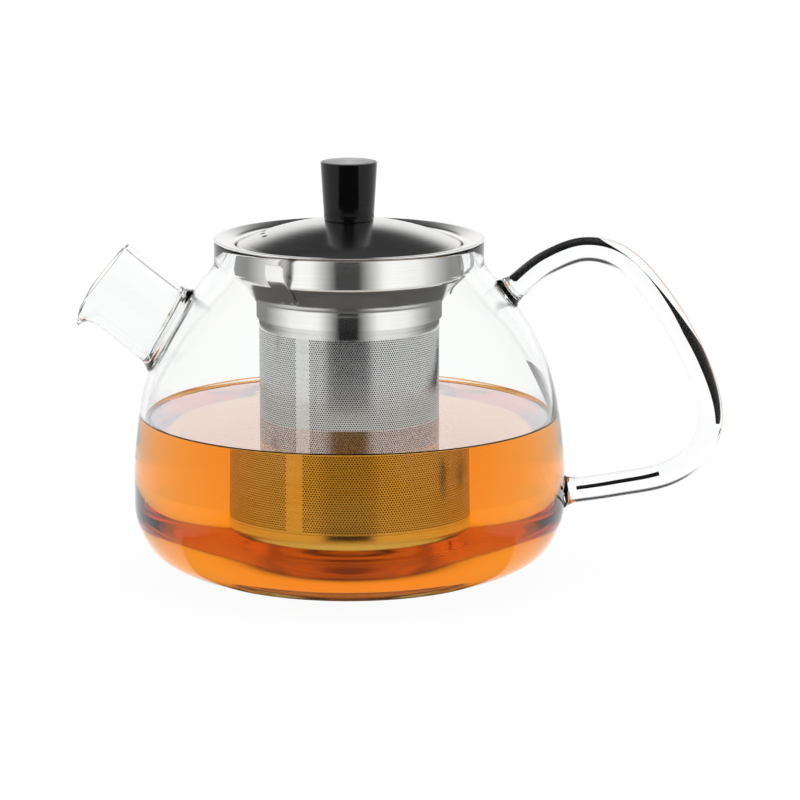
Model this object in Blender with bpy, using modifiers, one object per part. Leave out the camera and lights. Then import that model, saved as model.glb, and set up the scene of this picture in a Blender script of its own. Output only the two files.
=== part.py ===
"""Glass teapot with a lift-out steel infuser and a steel lid with a black knob.

Metres, +Z up.  The origin is the centre of the flat underside of the glass
base, on the pot's axis.  The handle is on +X and the spout is on -X.
"""
import math

import bmesh
import bpy
from mathutils import Vector

MM = 0.001
GAP = 0.3 * MM                    # clearance between neighbouring pieces
SEGMENTS = 56                     # steps round the large turned pieces
SEGMENTS_SMALL = 32               # steps round the knob and its cap
SEGMENTS_TINY = 20                # steps round the screw and the washer

# ---- glass body ---------------------------------------------------------
WALL = 2.0 * MM                   # blown wall thickness
BASE_RADIUS = 43.5 * MM           # flat the pot stands on
BASE_THICK = 2.6 * MM             # glass at the edge of the base
BASE_DOME = 0.8 * MM              # rise of the inner base on the axis
BELLY_RADIUS = 72.1 * MM          # widest outer radius
BELLY_HEIGHT = 28.0 * MM
NECK_RADIUS = 44.9 * MM           # outer radius of the neck
NECK_START = 104.6 * MM           # where the shoulder turns into the neck
RIM_HEIGHT = 112.0 * MM           # top of the glass
BODY_KNOTS = (                    # outer side, radius and height, from the base up
    (BASE_RADIUS, 0.0),
    (54.6 * MM, 2.5 * MM),
    (65.3 * MM, 8.0 * MM),
    (71.2 * MM, 18.0 * MM),
    (BELLY_RADIUS, BELLY_HEIGHT),
    (71.5 * MM, 44.0 * MM),
    (68.5 * MM, 63.0 * MM),
    (63.0 * MM, 78.0 * MM),
    (56.3 * MM, 89.0 * MM),
    (49.5 * MM, 98.0 * MM),
    (46.2 * MM, 102.0 * MM),
    (NECK_RADIUS, NECK_START),
)

# ---- spout --------------------------------------------------------------
SPOUT_RADIUS = 13.7 * MM          # outer radius half way along
SPOUT_WALL = 1.9 * MM
SPOUT_BEAK = 3.2 * MM             # how far the pouring lip is drawn out
BEAK_SHARPNESS = 6                # higher keeps the beak to the lowest side
BEAK_DOWN = 0.75                  # share of the beak that turns down
BEAK_OUT = 0.5                    # share of the beak that is cut back along the spout
BEAK_START = 0.35                 # share of the beak one section before the mouth
BORE_RUN_PAST = 6.0 * MM          # how far the bore is cut beyond the mouth
SPOUT_STATIONS = (                # x, z, tilt of the section in degrees, outer radius
    (-47.0 * MM, 71.5 * MM, 38.0, 15.2 * MM),
    (-58.0 * MM, 80.3 * MM, 36.0, 15.0 * MM),
    (-62.4 * MM, 83.9 * MM, 36.0, 14.2 * MM),
    (-66.3 * MM, 87.0 * MM, 37.0, SPOUT_RADIUS),
    (-72.0 * MM, 91.5 * MM, 38.5, SPOUT_RADIUS),
    (-77.5 * MM, 95.9 * MM, 38.5, 13.8 * MM),
    (-80.2 * MM, 98.1 * MM, 39.0, 13.85 * MM),
    (-82.0 * MM, 99.5 * MM, 39.0, 13.9 * MM),
)
SPOUT_SIDES = 36

# ---- handle -------------------------------------------------------------
ROD_RADIUS = 4.15 * MM
HANDLE_KNOTS = (                  # centre line of the rod, x and z, upper end first
    (48.0 * MM, 90.2 * MM),
    (55.5 * MM, 96.5 * MM),
    (66.0 * MM, 104.6 * MM),
    (79.0 * MM, 109.0 * MM),
    (92.0 * MM, 104.9 * MM),
    (104.9 * MM, 90.3 * MM),
    (116.0 * MM, 70.5 * MM),
    (120.9 * MM, 53.0 * MM),
    (117.3 * MM, 40.4 * MM),
    (106.3 * MM, 32.5 * MM),
    (89.0 * MM, 28.9 * MM),
    (73.5 * MM, 26.7 * MM),
    (66.0 * MM, 25.8 * MM),
)
PAD_RADIUS = 5.6 * MM             # flare of the rod where it joins the body
PAD_FADE = 3.2 * MM               # length over which the flare dies away
UPPER_WALL_AT = (53.4 * MM, 94.9 * MM)
LOWER_WALL_AT = (72.2 * MM, 26.5 * MM)
HANDLE_MIDDLE = 60.0 * MM         # height between the two joints with the body
ROD_RESOLUTION = 3                # steps to each quarter of the rod's round

# ---- infuser collar -----------------------------------------------------
SHEET = 0.55 * MM
LIP_RADIUS = 44.7 * MM
LIP_TOP = 113.1 * MM
LIP_DROP = 1.5 * MM               # the lip slopes down towards the lid
LIP_EDGE = 0.6                    # radius of the rolled outer edge, in sheet thicknesses
LIP_BEND = 1.3 * MM               # bend from the lip into the wall
CONE_BEND = 0.5 * MM              # bends at the two ends of the cone
COLLAR_RADIUS = 38.2 * MM
CONE_TOP = 101.0 * MM
CONE_BOTTOM = 92.0 * MM
NECKLET_RADIUS = 30.85 * MM
NECKLET_BOTTOM = 86.6 * MM

# ---- filter -------------------------------------------------------------
FILTER_RADIUS = 30.0 * MM
FILTER_SHEET = 0.3 * MM
FILTER_TOP = 90.4 * MM
FILTER_BOTTOM = 17.0 * MM
CUP_BOTTOM = 15.6 * MM
CUP_TOP = 20.8 * MM
CUP_CORNER = 2.2 * MM
CUP_SHEET = 0.4 * MM

# ---- spring clips -------------------------------------------------------
CLIP_ANGLES = {"clip_front": -124.4, "clip_right": -4.4, "clip_back": 115.6}
CLIP_WIDTH = 7.0 * MM
CLIP_SHEET = 0.4 * MM
CLIP_FOOT = (33.6 * MM, 94.5 * MM)       # lower end, on the cone
CLIP_KNEE = (41.45 * MM, 104.5 * MM)     # where it turns upright
CLIP_TOP = 109.2 * MM
CLIP_KNEE_RADIUS = 2.4 * MM
CLIP_FLAT = 3.5 * MM                     # flat of the foot that lies on the cone

# ---- lid ----------------------------------------------------------------
LID_RADIUS = 37.3 * MM
LID_SHEET = 0.6 * MM
LID_EDGE = 111.5 * MM
LID_DOME_RADIUS = 84.0 * MM       # curvature of the dome
LID_EDGE_ROLL = 1.2 * MM
LID_SKIRT_BOTTOM = 101.9 * MM
LID_HOLE = 2.1 * MM
VENT_RADIUS = 1.1 * MM
VENT_SPACING = 5.5 * MM
VENT_OUT = 28.5 * MM
VENT_ANGLE = 183.0
VENT_TOOL = 12.0 * MM             # length of the pin that pierces a vent

# ---- knob ---------------------------------------------------------------
KNOB_BOTTOM = 119.75 * MM
KNOB_TOP = 138.3 * MM
KNOB_RADIUS_LOW = 8.25 * MM
KNOB_RADIUS_HIGH = 9.4 * MM
KNOB_EDGE = 0.5 * MM
CAP_PROUD = 0.1 * MM              # how far the cap stands above the knob
CAP_BEVEL = 0.2 * MM
CAP_RADIUS = 8.55 * MM
CAP_THICK = 0.8 * MM
SCREW_RADIUS = 1.5 * MM
SCREW_REACH = 11.0 * MM
SCREW_CHAMFER = 0.4 * MM
SCREW_HEAD = 3.1 * MM
SCREW_HEAD_THICK = 1.7 * MM
WASHER_RADIUS = 5.2 * MM
WASHER_THICK = 0.8 * MM


# ---- scene helpers ------------------------------------------------------
def clear_scene():
    """Remove what the empty file starts with."""
    for item in list(bpy.data.objects):
        bpy.data.objects.remove(item, do_unlink=True)


def new_collection(name):
    """A collection linked to the scene."""
    group = bpy.data.collections.new(name)
    bpy.context.scene.collection.children.link(group)
    return group


def material(name, colour, metallic, roughness, transmission=0.0, ior=1.45):
    """A plain Principled material."""
    made = bpy.data.materials.new(name)
    made.use_nodes = True
    shader = made.node_tree.nodes["Principled BSDF"]
    shader.inputs["Base Color"].default_value = (*colour, 1.0)
    shader.inputs["Metallic"].default_value = metallic
    shader.inputs["Roughness"].default_value = roughness
    shader.inputs["Transmission Weight"].default_value = transmission
    shader.inputs["IOR"].default_value = ior
    return made


def glass_material():
    """Clear borosilicate glass."""
    return material("glass", (0.93, 0.96, 0.95), 0.0, 0.02, 1.0, 1.47)


def steel_material():
    """Brushed stainless steel."""
    return material("steel", (0.62, 0.61, 0.60), 1.0, 0.28)


def mesh_steel_material():
    """Etched stainless steel sheet of the filter."""
    return material("filter_steel", (0.56, 0.55, 0.54), 1.0, 0.36)


def knob_material():
    """Smooth black plastic."""
    return material("knob_plastic", (0.022, 0.022, 0.024), 0.0, 0.32)


def washer_material():
    """Black rubber of the washer under the lid."""
    return material("washer_rubber", (0.05, 0.05, 0.05), 0.0, 0.7)


def place(name, mesh, group, surface):
    """Make the named object from a mesh, with its material."""
    piece = bpy.data.objects.new(name, mesh)
    group.objects.link(piece)
    if surface is not None:
        mesh.materials.append(surface)
    return piece


def shade(piece, degrees=40.0):
    """Smooth shading with sharp edges kept."""
    piece.data.shade_smooth()
    piece.data.set_sharp_from_angle(angle=math.radians(degrees))


def cut(piece, tool):
    """Exact Boolean difference."""
    step = piece.modifiers.new("cut_" + tool.name, "BOOLEAN")
    step.operation = "DIFFERENCE"
    step.solver = "EXACT"
    step.object = tool


def as_cutter(piece):
    """Mark an object as a construction solid."""
    piece.hide_render = True
    piece.display_type = "WIRE"
    return piece


# ---- shape helpers ------------------------------------------------------
def smooth_path(knots, per_span):
    """Points on a Catmull-Rom curve through the knots."""
    knots = [Vector(k) for k in knots]
    first = knots[0] * 2.0 - knots[1]
    last = knots[-1] * 2.0 - knots[-2]
    ring = [first] + knots + [last]
    points = []
    for i in range(1, len(ring) - 2):
        a, b, c, d = ring[i - 1:i + 3]
        for step in range(per_span):
            t = step / per_span
            points.append(0.5 * (2.0 * b + (c - a) * t
                                 + (2.0 * a - 5.0 * b + 4.0 * c - d) * t * t
                                 + (3.0 * b - a - 3.0 * c + d) * t * t * t))
    points.append(knots[-1])
    return points


def offset_path(points, distance):
    """The path moved sideways, to its left as it runs."""
    moved = []
    for i, here in enumerate(points):
        before = points[max(i - 1, 0)]
        after = points[min(i + 1, len(points) - 1)]
        along = (after - before).normalized()
        moved.append(here + Vector((-along.y, along.x)) * distance)
    return moved


def corner_arc(centre, radius, start, end, steps):
    """Points on an arc; angles in degrees from +X."""
    points = []
    for i in range(steps + 1):
        angle = math.radians(start + (end - start) * i / steps)
        points.append((centre[0] + radius * math.cos(angle),
                       centre[1] + radius * math.sin(angle)))
    return points


def turned(name, profile, group, surface, segments, closed=True):
    """Turn a profile (radius, height) about the Z axis with a Screw modifier."""
    mesh = bpy.data.meshes.new(name)
    count = len(profile)
    verts = [(p[0], 0.0, p[1]) for p in profile]
    edges = [(i, i + 1) for i in range(count - 1)]
    if closed:
        edges.append((count - 1, 0))
    mesh.from_pydata(verts, edges, [])
    piece = place(name, mesh, group, surface)
    spin = piece.modifiers.new("turn", "SCREW")
    spin.axis = "Z"
    spin.angle = math.tau
    spin.steps = segments
    spin.render_steps = segments
    spin.use_merge_vertices = True
    spin.merge_threshold = 0.00001
    spin.use_smooth_shade = True
    return piece


def lofted(name, rings, group, surface):
    """Skin a list of equal rings of points, with flat ends."""
    mesh = bpy.data.meshes.new(name)
    work = bmesh.new()
    loops = [[work.verts.new(p) for p in ring] for ring in rings]
    sides = len(rings[0])
    for low, high in zip(loops, loops[1:]):
        for i in range(sides):
            j = (i + 1) % sides
            work.faces.new((low[i], low[j], high[j], high[i]))
    work.faces.new(list(reversed(loops[0])))
    work.faces.new(loops[-1])
    bmesh.ops.recalc_face_normals(work, faces=work.faces)
    work.to_mesh(mesh)
    work.free()
    return place(name, mesh, group, surface)


def plane_ring(centre, along, radius, sides, reach=0.0):
    """A circle square to a direction in the XZ plane; reach draws out its low side."""
    up = Vector((-along.z, 0.0, along.x))
    if up.z < 0.0:
        up.negate()
    across = Vector((0.0, 1.0, 0.0))
    ring = []
    for i in range(sides):
        angle = math.tau * i / sides
        low = max(0.0, -math.cos(angle)) ** BEAK_SHARPNESS
        point = centre + (up * math.cos(angle) + across * math.sin(angle)) * radius
        ring.append(point - (up * BEAK_DOWN + along * BEAK_OUT) * (reach * low))
    return ring


# ---- glass --------------------------------------------------------------
def body_outer():
    """Outer side of the body from the edge of the base up to the rim."""
    points = smooth_path(BODY_KNOTS, 2)
    points.append(Vector((NECK_RADIUS, NECK_START + 2.0 * MM)))
    points.append(Vector((NECK_RADIUS, RIM_HEIGHT - WALL / 2.0)))
    return points


def body_profile():
    """Closed wall section: down the outside, across the base, up the inside."""
    outside = body_outer()
    inside = [p for p in offset_path(outside, WALL)[::2] if p.y > BASE_THICK]
    rim = corner_arc((NECK_RADIUS - WALL / 2.0, RIM_HEIGHT - WALL / 2.0),
                     WALL / 2.0, 150.0, 30.0, 4)
    base = [(0.0, BASE_THICK + BASE_DOME),
            (BASE_RADIUS * 0.35, BASE_THICK + BASE_DOME * 0.8),
            (BASE_RADIUS * 0.7, BASE_THICK + BASE_DOME * 0.3),
            (BASE_RADIUS, BASE_THICK)]
    down = [tuple(p) for p in reversed(outside)]
    up = [tuple(p) for p in inside]
    return rim + down + [(0.0, 0.0)], base + up


def glass_body(group, surface):
    """Blown body with the base and the neck."""
    outer, inner = body_profile()
    return turned("glass_body", inner + outer, group, surface, SEGMENTS, closed=False)


def body_envelope(group):
    """The body's outside grown by the clearance, used to trim what joins it."""
    outer = offset_path(body_outer(), -GAP)
    top = [(0.0, RIM_HEIGHT), (NECK_RADIUS + GAP, RIM_HEIGHT)]
    side = [tuple(p) for p in reversed(outer)]
    return as_cutter(turned("body_envelope", top + side + [(0.0, -GAP)], group,
                            None, SEGMENTS, closed=False))


def spout_rings(inset, mouth_reach, run_past):
    """Sections of the spout, from inside the body out to the mouth."""
    rings = []
    last = len(SPOUT_STATIONS) - 1
    for i, (x, z, tilt, radius) in enumerate(SPOUT_STATIONS):
        along = Vector((-math.cos(math.radians(tilt)), 0.0, math.sin(math.radians(tilt))))
        reach = 0.0
        if i == last:
            reach = mouth_reach
        elif i == last - 1:
            reach = mouth_reach * BEAK_START
        rings.append(plane_ring(Vector((x, 0.0, z)), along, radius - inset, SPOUT_SIDES, reach))
        if i == last and run_past > 0.0:
            beyond = Vector((x, 0.0, z)) + along * run_past
            rings.append(plane_ring(beyond, along, radius - inset, SPOUT_SIDES, reach))
    return rings


def spout_bore(group):
    """The way through the spout and the wall of the body."""
    rings = spout_rings(SPOUT_WALL, SPOUT_BEAK, BORE_RUN_PAST)
    return as_cutter(lofted("spout_bore", rings, group, None))


def glass_spout(group, surface):
    """Short wide pouring tube with a beak at its mouth."""
    spout = lofted("glass_spout", spout_rings(0.0, SPOUT_BEAK, 0.0), group, surface)
    shade(spout)
    return spout


def rod_radius(point):
    """Rod radius, flared next to the wall at both ends."""
    near = min((point - Vector(UPPER_WALL_AT)).length, (point - Vector(LOWER_WALL_AT)).length)
    wall_x = UPPER_WALL_AT[0] if point.y > HANDLE_MIDDLE else LOWER_WALL_AT[0]
    if point.x < wall_x:
        return PAD_RADIUS
    flare = max(0.0, 1.0 - near / PAD_FADE)
    return ROD_RADIUS + (PAD_RADIUS - ROD_RADIUS) * flare * flare


def glass_handle(group, surface):
    """Solid glass rod bent into an open loop, a curve made into a mesh to be trimmed."""
    curve = bpy.data.curves.new("handle_curve", "CURVE")
    curve.dimensions = "3D"
    curve.bevel_depth = ROD_RADIUS
    curve.bevel_resolution = ROD_RESOLUTION
    curve.render_resolution_u = 0
    curve.use_fill_caps = True
    path = smooth_path(HANDLE_KNOTS, 4)
    spline = curve.splines.new("POLY")
    spline.points.add(len(path) - 1)
    for point, here in zip(spline.points, path):
        point.co = (here.x, 0.0, here.y, 1.0)
        point.radius = rod_radius(here) / ROD_RADIUS
    guide = place("handle_guide", curve, group, None)
    view = bpy.context.evaluated_depsgraph_get()
    mesh = bpy.data.meshes.new_from_object(guide.evaluated_get(view))
    work = bmesh.new()
    work.from_mesh(mesh)
    bmesh.ops.remove_doubles(work, verts=work.verts, dist=0.00001)
    work.to_mesh(mesh)
    work.free()
    mesh.materials.clear()
    handle = place("glass_handle", mesh, group, surface)
    handle.matrix_world = guide.matrix_world
    bpy.data.objects.remove(guide, do_unlink=True)
    shade(handle)
    return handle


# ---- infuser ------------------------------------------------------------
def infuser_collar(group, surface):
    """Spun lip, wall, cone and necklet in one sheet."""
    lip_low = LIP_TOP - LIP_DROP - SHEET
    roll = SHEET * LIP_EDGE
    edge = corner_arc((LIP_RADIUS - roll, LIP_TOP - roll), roll, 80.0, -80.0, 4)
    outer = [(COLLAR_RADIUS + LIP_BEND, lip_low),
             (COLLAR_RADIUS + LIP_BEND * 0.25, lip_low - LIP_BEND * 0.5),
             (COLLAR_RADIUS, lip_low - LIP_BEND * 1.3),
             (COLLAR_RADIUS, CONE_TOP + CONE_BEND),
             (COLLAR_RADIUS - CONE_BEND, CONE_TOP - CONE_BEND),
             (NECKLET_RADIUS + CONE_BEND, CONE_BOTTOM + CONE_BEND),
             (NECKLET_RADIUS, CONE_BOTTOM - CONE_BEND),
             (NECKLET_RADIUS, NECKLET_BOTTOM)]
    inner = [tuple(p) for p in offset_path([Vector(p) for p in outer], -SHEET)]
    return turned("infuser_collar", edge + outer + inner[::-1], group, surface, SEGMENTS)


def filter_wall(group, surface):
    """Rolled sheet of the filter, its fine holes left out of the solid."""
    inside = FILTER_RADIUS - FILTER_SHEET
    profile = [(FILTER_RADIUS, FILTER_TOP), (FILTER_RADIUS, FILTER_BOTTOM),
               (inside, FILTER_BOTTOM), (inside, FILTER_TOP)]
    return turned("filter_wall", profile, group, surface, SEGMENTS)


def filter_base(group, surface):
    """Shallow pressed cup that closes the lower end of the filter."""
    outside = FILTER_RADIUS + GAP + CUP_SHEET
    centre = (outside - CUP_CORNER, CUP_BOTTOM + CUP_CORNER)
    outer = corner_arc(centre, CUP_CORNER, 0.0, -90.0, 6)
    inner = corner_arc(centre, CUP_CORNER - CUP_SHEET, -90.0, 0.0, 6)
    profile = ([(0.0, CUP_BOTTOM + CUP_SHEET)] + inner
               + [(outside - CUP_SHEET, CUP_TOP), (outside, CUP_TOP)] + outer
               + [(0.0, CUP_BOTTOM)])
    return turned("filter_base", profile, group, surface, SEGMENTS, closed=False)


def spring_clip(name, degrees, group, surface):
    """Leaf spring: its foot lies on the cone and its end stands in the neck."""
    foot = Vector(CLIP_FOOT)
    knee = Vector(CLIP_KNEE)
    slope = (knee - foot).normalized()
    upright = Vector((0.0, 1.0))
    path = [foot, foot + slope * CLIP_FLAT,
            knee - slope * CLIP_KNEE_RADIUS,
            knee + (upright - slope) * CLIP_KNEE_RADIUS * 0.25,
            knee + upright * CLIP_KNEE_RADIUS,
            Vector((knee.x, CLIP_TOP))]
    half = CLIP_WIDTH / 2.0
    mesh = bpy.data.meshes.new(name)
    work = bmesh.new()
    rows = [[work.verts.new((p.x - foot.x, side, p.y - foot.y)) for side in (-half, half)]
            for p in path]
    for low, high in zip(rows, rows[1:]):
        work.faces.new((low[0], low[1], high[1], high[0]))
    work.to_mesh(mesh)
    work.free()
    clip = place(name, mesh, group, surface)
    sheet = clip.modifiers.new("sheet", "SOLIDIFY")
    sheet.thickness = CLIP_SHEET
    sheet.offset = 0.0
    turn = math.radians(degrees)
    clip.location = (foot.x * math.cos(turn), foot.x * math.sin(turn), foot.y)
    clip.rotation_euler = (0.0, 0.0, turn)
    shade(clip, 30.0)
    return clip


# ---- lid ----------------------------------------------------------------
def lid_shell(group, surface):
    """Domed pressed lid with a turned-down skirt."""
    edge_r = LID_RADIUS - LID_EDGE_ROLL
    crown = LID_EDGE + edge_r * edge_r / (2.0 * LID_DOME_RADIUS)
    steps = 5
    dome = []
    for i in range(steps + 1):
        r = LID_HOLE + (edge_r - LID_HOLE) * i / steps
        dome.append((r, crown - r * r / (2.0 * LID_DOME_RADIUS)))
    roll = corner_arc((edge_r, LID_EDGE - LID_EDGE_ROLL), LID_EDGE_ROLL, 60.0, 0.0, 3)
    roll_in = corner_arc((edge_r, LID_EDGE - LID_EDGE_ROLL), LID_EDGE_ROLL - LID_SHEET,
                         0.0, 60.0, 3)
    outer = dome + roll + [(LID_RADIUS, LID_SKIRT_BOTTOM)]
    inner = [(LID_RADIUS - LID_SHEET, LID_SKIRT_BOTTOM)] + roll_in
    under = [(r, z - LID_SHEET) for r, z in reversed(dome)]
    return turned("lid_shell", outer + inner + under, group, surface, SEGMENTS)


def vent_tools(group):
    """Three small upright pins that pierce the vents."""
    tools = []
    for k in (-1, 0, 1):
        angle = math.radians(VENT_ANGLE) + k * VENT_SPACING / VENT_OUT
        work = bmesh.new()
        bmesh.ops.create_cone(work, cap_ends=True, segments=16, radius1=VENT_RADIUS,
                              radius2=VENT_RADIUS, depth=VENT_TOOL)
        mesh = bpy.data.meshes.new("vent_tool")
        work.to_mesh(mesh)
        work.free()
        pin = place("vent_tool_%d" % (k + 2), mesh, group, None)
        pin.location = (VENT_OUT * math.cos(angle), VENT_OUT * math.sin(angle), LID_EDGE)
        tools.append(as_cutter(pin))
    return tools


def knob(group, surface):
    """Tapered knob with a seat for the cap and a blind hole for the screw."""
    bore = SCREW_RADIUS + GAP
    seat = CAP_RADIUS + GAP
    floor = KNOB_TOP - CAP_THICK - GAP
    profile = [(seat, KNOB_TOP), (KNOB_RADIUS_HIGH - KNOB_EDGE * 0.5, KNOB_TOP),
               (KNOB_RADIUS_HIGH, KNOB_TOP - KNOB_EDGE),
               (KNOB_RADIUS_LOW, KNOB_BOTTOM + KNOB_EDGE),
               (KNOB_RADIUS_LOW - KNOB_EDGE, KNOB_BOTTOM),
               (bore, KNOB_BOTTOM),
               (bore, KNOB_BOTTOM + SCREW_REACH),
               (0.0, KNOB_BOTTOM + SCREW_REACH)]
    top = [(0.0, floor), (seat, floor)]
    return turned("knob", top + profile, group, surface, SEGMENTS_SMALL, closed=False)


def knob_cap(group, surface):
    """Thin turned disc let into the top of the knob."""
    top = KNOB_TOP + CAP_PROUD
    bottom = top - CAP_THICK
    profile = [(0.0, top), (CAP_RADIUS - CAP_BEVEL, top), (CAP_RADIUS, top - CAP_BEVEL),
               (CAP_RADIUS, bottom), (0.0, bottom)]
    return turned("knob_cap", profile, group, surface, SEGMENTS_SMALL, closed=False)


def under_lid():
    """Height of the lid's underside beside the screw."""
    edge_r = LID_RADIUS - LID_EDGE_ROLL
    return LID_EDGE + (edge_r ** 2 - WASHER_RADIUS ** 2) / (2.0 * LID_DOME_RADIUS) - LID_SHEET


def knob_washer(group, surface):
    """Flat washer between the lid and the screw head."""
    top = under_lid() - GAP
    bottom = top - WASHER_THICK
    inside = SCREW_RADIUS + GAP
    profile = [(WASHER_RADIUS, top), (WASHER_RADIUS, bottom), (inside, bottom), (inside, top)]
    return turned("knob_washer", profile, group, surface, SEGMENTS_TINY)


def knob_screw(group, surface):
    """Pan-head screw that holds the knob from below."""
    seat = under_lid() - GAP - WASHER_THICK - GAP
    tip = KNOB_BOTTOM + SCREW_REACH - GAP
    profile = [(0.0, tip), (SCREW_RADIUS - SCREW_CHAMFER, tip),
               (SCREW_RADIUS, tip - SCREW_CHAMFER),
               (SCREW_RADIUS, seat), (SCREW_HEAD, seat),
               (SCREW_HEAD, seat - SCREW_HEAD_THICK * 0.5),
               (SCREW_HEAD * 0.75, seat - SCREW_HEAD_THICK),
               (0.0, seat - SCREW_HEAD_THICK)]
    return turned("knob_screw", profile, group, surface, SEGMENTS_TINY, closed=False)


# ---- assembly -----------------------------------------------------------
def build_glass(group, tools, surface):
    """The three glass pieces, trimmed to meet with a clearance."""
    bore = spout_bore(tools)
    envelope = body_envelope(tools)
    body = glass_body(group, surface)
    cut(body, bore)
    spout = glass_spout(group, surface)
    cut(spout, envelope)
    cut(spout, bore)
    handle = glass_handle(group, surface)
    cut(handle, envelope)


def build_infuser(group, surface, filter_surface):
    """Collar, filter and the three spring clips."""
    infuser_collar(group, surface)
    filter_wall(group, filter_surface)
    filter_base(group, filter_surface)
    for name, degrees in CLIP_ANGLES.items():
        spring_clip(name, degrees, group, surface)


def build_lid(group, tools, surface):
    """Lid, knob and what holds the knob on."""
    shell = lid_shell(group, surface)
    for pin in vent_tools(tools):
        cut(shell, pin)
    knob(group, knob_material())
    knob_cap(group, surface)
    knob_washer(group, washer_material())
    knob_screw(group, surface)


def main():
    """Build the whole teapot."""
    clear_scene()
    group = new_collection("glass_teapot")
    tools = new_collection("cutters")
    steel = steel_material()
    build_glass(group, tools, glass_material())
    build_infuser(group, steel, mesh_steel_material())
    build_lid(group, tools, steel)


main()
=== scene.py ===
import math

import bmesh
import bpy
import numpy as np
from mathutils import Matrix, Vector


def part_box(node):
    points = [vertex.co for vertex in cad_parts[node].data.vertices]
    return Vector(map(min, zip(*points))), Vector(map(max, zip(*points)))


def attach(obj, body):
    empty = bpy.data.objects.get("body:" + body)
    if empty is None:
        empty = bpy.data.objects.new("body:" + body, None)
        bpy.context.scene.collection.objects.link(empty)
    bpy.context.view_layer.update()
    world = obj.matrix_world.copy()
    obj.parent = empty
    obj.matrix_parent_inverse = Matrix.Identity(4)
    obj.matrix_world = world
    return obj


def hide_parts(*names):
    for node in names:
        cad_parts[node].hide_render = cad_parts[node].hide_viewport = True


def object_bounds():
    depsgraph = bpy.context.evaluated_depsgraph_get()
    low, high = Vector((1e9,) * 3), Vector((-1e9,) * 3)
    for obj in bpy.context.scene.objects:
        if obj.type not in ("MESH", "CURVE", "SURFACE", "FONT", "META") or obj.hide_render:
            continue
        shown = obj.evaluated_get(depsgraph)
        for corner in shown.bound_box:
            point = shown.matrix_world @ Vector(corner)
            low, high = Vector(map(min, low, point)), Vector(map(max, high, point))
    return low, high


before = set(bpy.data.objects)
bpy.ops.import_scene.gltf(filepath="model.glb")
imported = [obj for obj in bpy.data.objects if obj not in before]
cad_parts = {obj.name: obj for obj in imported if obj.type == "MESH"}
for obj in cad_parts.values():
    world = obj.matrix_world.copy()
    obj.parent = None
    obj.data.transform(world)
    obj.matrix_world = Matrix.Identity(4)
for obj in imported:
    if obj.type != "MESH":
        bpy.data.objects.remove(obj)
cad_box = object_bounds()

MM = 0.001

# ---- sizes, from the frame and from the object's own design --------------
BODY_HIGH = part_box("glass_body")[1]
COLLAR_LOW, COLLAR_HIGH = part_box("infuser_collar")
FILTER_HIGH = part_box("filter_wall")[1]
CUP_LOW, CUP_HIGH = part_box("filter_base")
LID_LOW, LID_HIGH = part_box("lid_shell")
KNOB_LOW, KNOB_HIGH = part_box("knob")
CAP_LOW, CAP_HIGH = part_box("knob_cap")

WALL = 2.0 * MM
BASE_RADIUS = 43.5 * MM
BASE_THICK = 2.6 * MM
BASE_DOME = 0.8 * MM
BASE_RIPPLE = 0.16 * MM          # rings in the inside of the base
BASE_RINGS = 7.0
NECK_RADIUS = 44.9 * MM
NECK_START = 104.6 * MM
RIM_HEIGHT = BODY_HIGH.z
BODY_KNOTS = (                   # radius and height up the outer side
    (BASE_RADIUS, 0.0),
    (54.6 * MM, 2.5 * MM),
    (65.3 * MM, 8.0 * MM),
    (71.2 * MM, 18.0 * MM),
    (BODY_HIGH.x, 28.0 * MM),
    (71.5 * MM, 44.0 * MM),
    (68.5 * MM, 63.0 * MM),
    (63.0 * MM, 78.0 * MM),
    (56.3 * MM, 89.0 * MM),
    (49.5 * MM, 98.0 * MM),
    (46.2 * MM, 102.0 * MM),
    (NECK_RADIUS, NECK_START),
)

SPOUT_WALL = 1.9 * MM
SPOUT_BEAK = 5.2 * MM            # how far the beak is pulled out
BEAK_SPREAD = 8.5 * MM           # length of spout that bends into the beak
BEAK_SHARPNESS = 7               # higher keeps the beak to the lowest side
BEAK_DOWN = 0.8                  # share of the pull that goes down
BEAK_BACK = 0.72                 # share of it that goes back along the spout
SPOUT_STATIONS = (               # x, z, tilt in degrees, radius
    (-47.0 * MM, 71.5 * MM, 38.0, 14.0 * MM),
    (-58.0 * MM, 80.3 * MM, 36.5, 13.9 * MM),
    (-62.4 * MM, 83.9 * MM, 37.0, 13.8 * MM),
    (-66.3 * MM, 87.0 * MM, 37.5, 13.7 * MM),
    (-72.0 * MM, 91.5 * MM, 38.5, 13.7 * MM),
    (-77.5 * MM, 95.9 * MM, 38.5, 13.75 * MM),
    (-80.2 * MM, 98.1 * MM, 39.0, 13.85 * MM),
    (-82.0 * MM, 99.5 * MM, 39.0, 13.9 * MM),
)
SPOUT_SIDES = 112
SPOUT_STEPS = 12
SPOUT_RUN_PAST = 8.0 * MM        # how far the bore runs out of the mouth
WELD_FLARE = 1.5 * MM
WELD_FADE = 1.7 * MM
RIPPLE_HEIGHT = 0.14 * MM
RIPPLE_LENGTH = 1.5 * MM
RIPPLE_FADE = 2.4 * MM

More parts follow.
